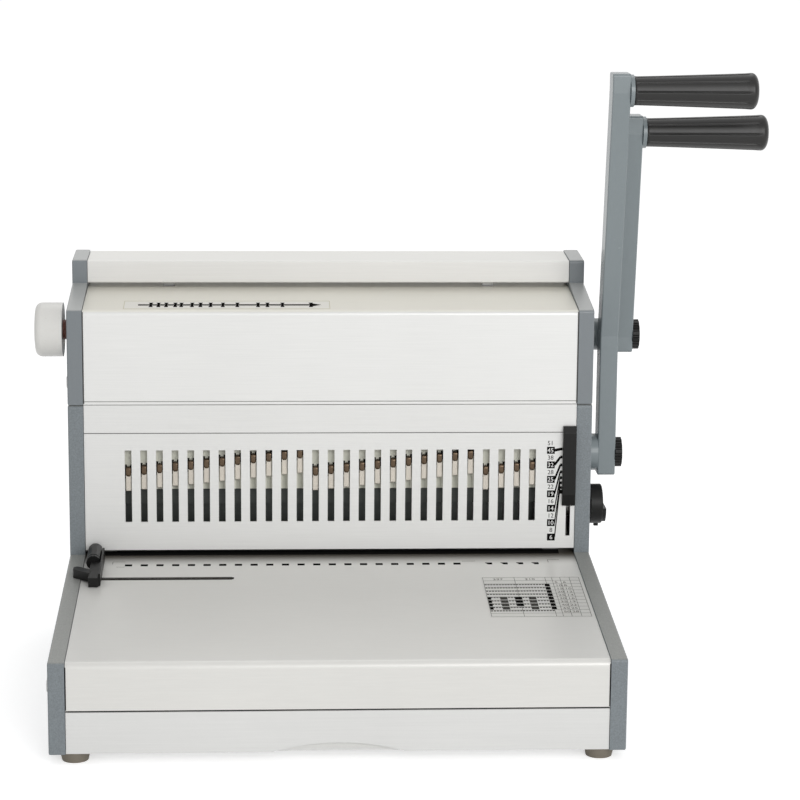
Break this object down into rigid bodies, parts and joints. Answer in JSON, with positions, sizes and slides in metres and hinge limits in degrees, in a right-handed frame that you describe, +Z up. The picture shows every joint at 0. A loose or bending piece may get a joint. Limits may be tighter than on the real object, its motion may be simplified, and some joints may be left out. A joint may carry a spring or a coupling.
{
  "type": "comb binding machine",
  "caption": "Manual desk-top binding machine that punches paper and opens plastic combs: slotted panel over a sloping feed tray, hand levers at the right, wire press bar on top.",
  "frame": {"origin": "on the table plane under the feet, at mid width of the side plates, below the front face of the slotted panel", "axes": "+X to the machine's right as seen by its user, where the levers are; +Y to the back; +Z up"},
  "size_m": [0.6703, 0.4152, 0.5504],
  "materials": {
    "side_paint": "fine textured blue-grey paint",
    "lever_paint": "smooth glossy blue-grey paint",
    "panel_sheet": "bright brushed sheet",
    "tray_sheet": "satin warm grey",
    "press_bar_metal": "brushed",
    "inner_steel": "plain machined steel",
    "hook_steel": "bright stamped steel",
    "back_plate_paint": "light grey",
    "screw_steel": "bright plated",
    "bush_brass": "plain",
    "spring_steel": "dark oiled",
    "grip_black": "satin black with shallow flutes",
    "knob_black": "satin black",
    "knob_white": "off-white",
    "hub_red_brown": "red-brown",
    "foot_rubber": "beige-grey",
    "drawer_plastic": "grey"
  },
  "bodies": {
    "frame": {"base_plate": "side_paint", "left_side_plate": "side_paint", "right_side_plate": "side_paint", "left_top_cheek": "side_paint", "right_top_cheek": "side_paint", "feed_tray": "tray_sheet", "front_panel": "panel_sheet", "upper_cover": "panel_sheet", "rear_cover": "panel_sheet", "rubber_feet": "foot_rubber", "foot_screws": "screw_steel", "die_plate": "inner_steel", "pin_guide_plate": "inner_steel", "die_spacers": "inner_steel", "comb_back_plate": "back_plate_paint", "upper_cross_bar": "inner_steel", "rear_cross_bar": "inner_steel", "guide_rods": "inner_steel", "tie_rods": "inner_steel", "tie_screws": "screw_steel", "rear_cover_screws": "screw_steel", "punch_bushes": "bush_brass", "binding_bushes": "bush_brass", "knob_bushes": "bush_brass", "drawer_runners": "drawer_plastic", "punch_return_spring": "spring_steel", "binding_return_spring": "spring_steel"},
    "punch_lever": {"punch_lever_arm": "lever_paint", "punch_shaft": "inner_steel", "punch_pinions": "inner_steel", "punch_lever_cap": "knob_black", "punch_grip": "grip_black", "punch_grip_spindle": "inner_steel"},
    "binding_lever": {"binding_lever_arm": "lever_paint", "binding_shaft": "inner_steel", "binding_pinions": "inner_steel", "binding_lever_cap": "knob_black", "binding_grip": "grip_black", "binding_grip_spindle": "inner_steel"},
    "punch_slide": {"punch_bar": "inner_steel", "punch_pins": "inner_steel", "punch_racks": "inner_steel"},
    "comb_carriage": {"carriage_plate": "inner_steel", "comb_hooks": "hook_steel", "carriage_racks": "inner_steel", "carriage_blocks": "inner_steel"},
    "press": {"press_bar": "press_bar_metal", "press_racks": "inner_steel"},
    "size_setting": {"size_slider": "knob_black", "slider_stem": "knob_black"},
    "wire_gap_setting": {"wire_gap_knob": "knob_white", "wire_gap_hub": "hub_red_brown", "wire_gap_shaft": "inner_steel"},
    "margin_setting": {"margin_knob": "knob_black", "margin_shaft": "inner_steel"},
    "depth_stop": {"depth_stop_bar": "inner_steel"},
    "side_guide": {"side_guide_body": "knob_black", "side_guide_grip": "knob_black"},
    "chip_drawer": {"drawer_front": "panel_sheet", "drawer_box": "drawer_plastic"}
  },
  "joints": [
    {"name": "punch_lever_swing", "type": "hinge", "parent": "frame", "child": "punch_lever", "pos_m": [0, 0.044, 0.19148], "axis": [1, 0, 0], "range_deg": [0, 80], "stiffness_Nm_per_rad": 1.6, "springref_deg": -68.75},
    {"name": "binding_lever_swing", "type": "hinge", "parent": "frame", "child": "binding_lever", "pos_m": [0, 0.076, 0.298], "axis": [1, 0, 0], "range_deg": [0, 75], "stiffness_Nm_per_rad": 1, "springref_deg": -68.75},
    {"name": "punch_bar_slide", "type": "slide", "parent": "frame", "child": "punch_slide", "axis": [0, 0, -1], "range_m": [0, 0.01676]},
    {"name": "comb_carriage_slide", "type": "slide", "parent": "frame", "child": "comb_carriage", "axis": [0, 0, -1], "range_m": [0, 0.02357]},
    {"name": "press_bar_slide", "type": "slide", "parent": "frame", "child": "press", "axis": [0, 0, 1], "range_m": [0, 0.02357]},
    {"name": "size_slider_slide", "type": "slide", "parent": "frame", "child": "size_setting", "axis": [0, 0, -1], "range_m": [0, 0.038]},
    {"name": "wire_gap_turn", "type": "hinge", "parent": "frame", "child": "wire_gap_setting", "pos_m": [0, 0.028, 0.3115], "axis": [1, 0, 0], "range_deg": [0, 270]},
    {"name": "margin_turn", "type": "hinge", "parent": "frame", "child": "margin_setting", "pos_m": [0, 0.026, 0.146], "axis": [1, 0, 0], "range_deg": [0, 180]},
    {"name": "depth_stop_slide", "type": "slide", "parent": "frame", "child": "depth_stop", "axis": [0, 1, 0], "range_m": [0, 0.004]},
    {"name": "side_guide_slide", "type": "slide", "parent": "frame", "child": "side_guide", "axis": [1, 0, 0], "range_m": [0, 0.1185]},
    {"name": "chip_drawer_slide", "type": "slide", "parent": "frame", "child": "chip_drawer", "axis": [0, -1, 0], "range_m": [0, 0.18]}
  ],
  "couplings": [
    {"joint": "punch_bar_slide", "follows": "punch_lever_swing", "m_per_rad": 0.012},
    {"joint": "comb_carriage_slide", "follows": "binding_lever_swing", "m_per_rad": 0.018},
    {"joint": "press_bar_slide", "follows": "binding_lever_swing", "m_per_rad": 0.018},
    {"joint": "margin_turn", "follows": "depth_stop_slide", "rad_per_m": 785.39}
  ]
}
